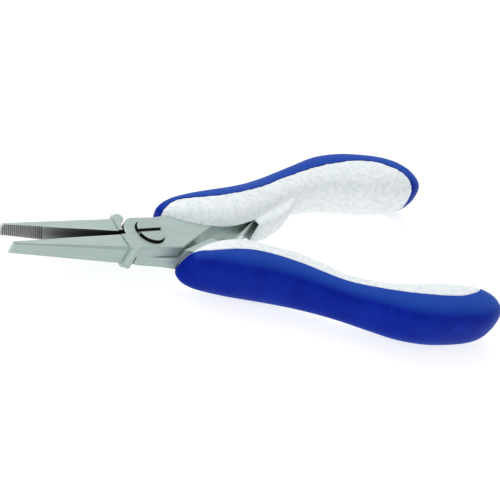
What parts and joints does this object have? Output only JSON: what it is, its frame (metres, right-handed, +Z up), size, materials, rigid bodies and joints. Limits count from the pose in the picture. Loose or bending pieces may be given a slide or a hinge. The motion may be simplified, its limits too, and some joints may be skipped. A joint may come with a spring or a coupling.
{
  "type": "flat nose pliers",
  "caption": "Small flat nose pliers with a lap joint, slim serrated jaws, return leaf springs and two-tone moulded grips, shown sprung open.",
  "frame": {"origin": "on the surface the pliers lie on, under the centre of their plan outline", "axes": "+X from the jaws to the handle ends, +Y towards the handle of the half with the screw recess, +Z up through the screw head"},
  "size_m": [0.1482, 0.066, 0.0148],
  "materials": {
    "steel": "satin, fine brushing along the jaws",
    "screw_steel": "satin",
    "spring_steel": "bright rolled",
    "light_grip": "light grey, faint mottle, fine grain",
    "blue_grip": "deep blue, fine grain"
  },
  "bodies": {
    "half_a": {"steel_half_a": "steel", "inner_grip_a": "light_grip", "outer_grip_a": "blue_grip", "leaf_spring_a": "spring_steel", "spring_rivet_a": "screw_steel"},
    "half_b": {"steel_half_b": "steel", "pivot_screw": "screw_steel", "inner_grip_b": "light_grip", "outer_grip_b": "blue_grip", "leaf_spring_b": "spring_steel", "spring_rivet_b": "screw_steel"}
  },
  "joints": [
    {"name": "pivot", "type": "hinge", "parent": "half_a", "child": "half_b", "pos_m": [-0.03022, 0, 0.00741], "axis": [0, 0, 1], "range_deg": [0, 7.7], "stiffness_Nm_per_rad": 3, "springref_deg": -1.72, "deforming": ["leaf_spring_a", "leaf_spring_b"]}
  ]
}
